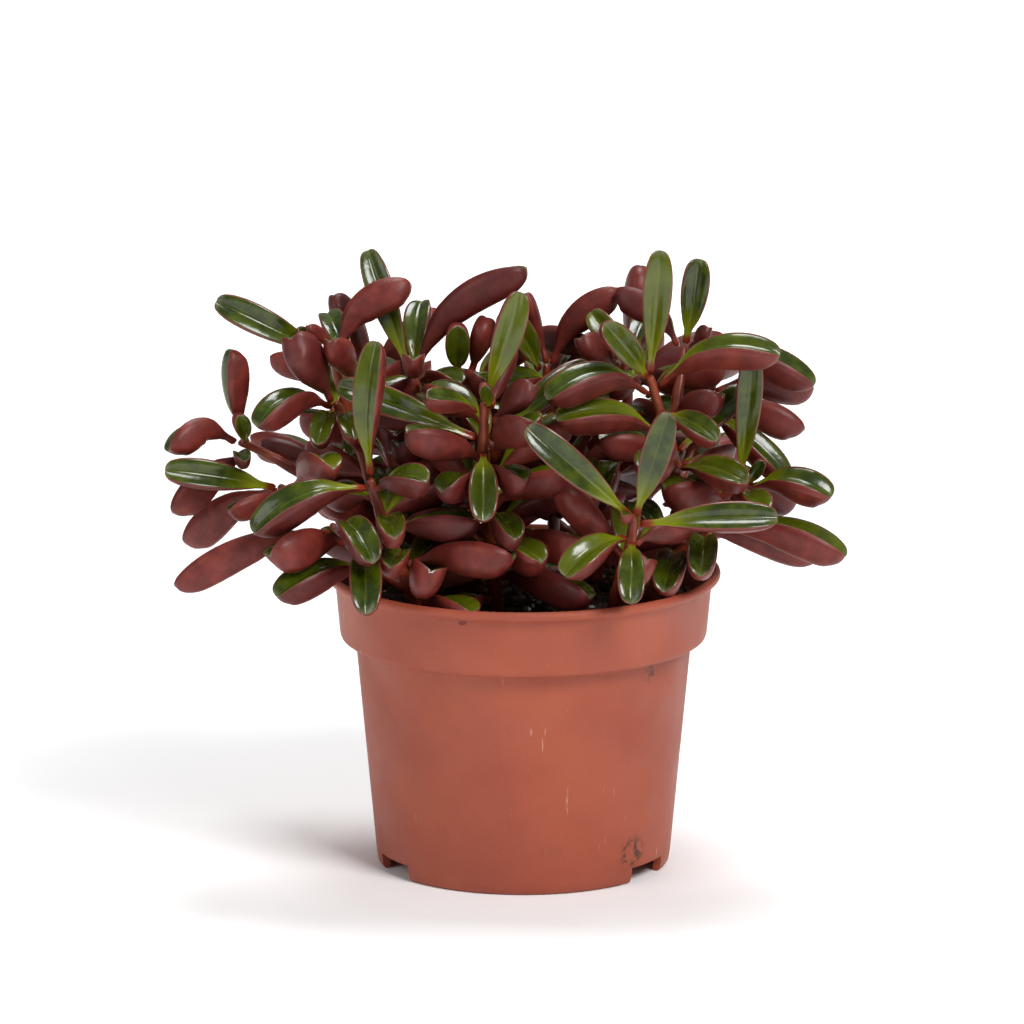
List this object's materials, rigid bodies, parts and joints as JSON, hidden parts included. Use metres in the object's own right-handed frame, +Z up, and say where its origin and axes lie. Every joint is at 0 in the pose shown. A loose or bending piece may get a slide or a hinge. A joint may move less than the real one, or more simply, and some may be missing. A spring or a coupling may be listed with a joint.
{
  "type": "potted peperomia plant",
  "caption": "Succulent peperomia with folded, boat-shaped leaves, green inside and wine red underneath, growing in a round tapered nursery pot.",
  "frame": {"origin": "on the pot's axis, in the plane that its foot ring stands on", "axes": "+Z up along the pot's axis, -Y towards the front of the plant, +X to its right"},
  "size_m": [0.2055, 0.1524, 0.194],
  "materials": {
    "terracotta_plastic": "matte",
    "compost": "matte",
    "fleshy_stem": "satin",
    "leaf": "satin"
  },
  "bodies": {
    "root": {"leaf_back_middle_1": "leaf", "leaf_front_left_1": "leaf", "leaf_front_left_2": "leaf", "leaf_front_left_3": "leaf", "leaf_front_left_4": "leaf", "leaf_front_left_low_1": "leaf", "leaf_front_left_low_2": "leaf", "leaf_front_left_low_3": "leaf", "leaf_front_left_low_4": "leaf", "leaf_front_left_low_5": "leaf", "leaf_front_right_1": "leaf", "leaf_front_right_2": "leaf", "leaf_front_right_3": "leaf", "leaf_front_right_4": "leaf", "leaf_front_right_5": "leaf", "leaf_left_low_1": "leaf", "leaf_left_low_2": "leaf", "leaf_left_low_3": "leaf", "leaf_left_outer_1": "leaf", "leaf_left_outer_2": "leaf", "leaf_left_outer_3": "leaf", "leaf_left_top_1": "leaf", "leaf_left_top_2": "leaf", "leaf_left_upper_1": "leaf", "leaf_left_upper_2": "leaf", "leaf_mid_left_1": "leaf", "leaf_mid_left_2": "leaf", "leaf_middle_1": "leaf", "leaf_middle_2": "leaf", "leaf_middle_3": "leaf", "leaf_rear_left_low_1": "leaf", "leaf_rear_low_1": "leaf", "leaf_rear_right_low_1": "leaf", "leaf_right_back_1": "leaf", "leaf_right_back_2": "leaf", "leaf_right_back_3": "leaf", "leaf_right_low_1": "leaf", "leaf_right_low_2": "leaf", "leaf_right_low_3": "leaf", "leaf_right_outer_1": "leaf", "leaf_right_outer_2": "leaf", "leaf_right_side_1": "leaf", "leaf_right_top_1": "leaf", "leaf_right_top_2": "leaf", "leaf_right_top_3": "leaf", "leaf_right_top_4": "leaf", "leaf_right_top_5": "leaf", "leaf_right_top_6": "leaf", "leaf_right_top_7": "leaf", "pot": "terracotta_plastic", "soil": "compost", "stem_back": "fleshy_stem", "stem_centre": "fleshy_stem", "stem_front_left": "fleshy_stem", "stem_front_right": "fleshy_stem", "stem_left": "fleshy_stem", "stem_mid_left": "fleshy_stem", "stem_rear_left": "fleshy_stem", "stem_rear_right": "fleshy_stem", "stem_right": "fleshy_stem"}
  },
  "joints": []
}
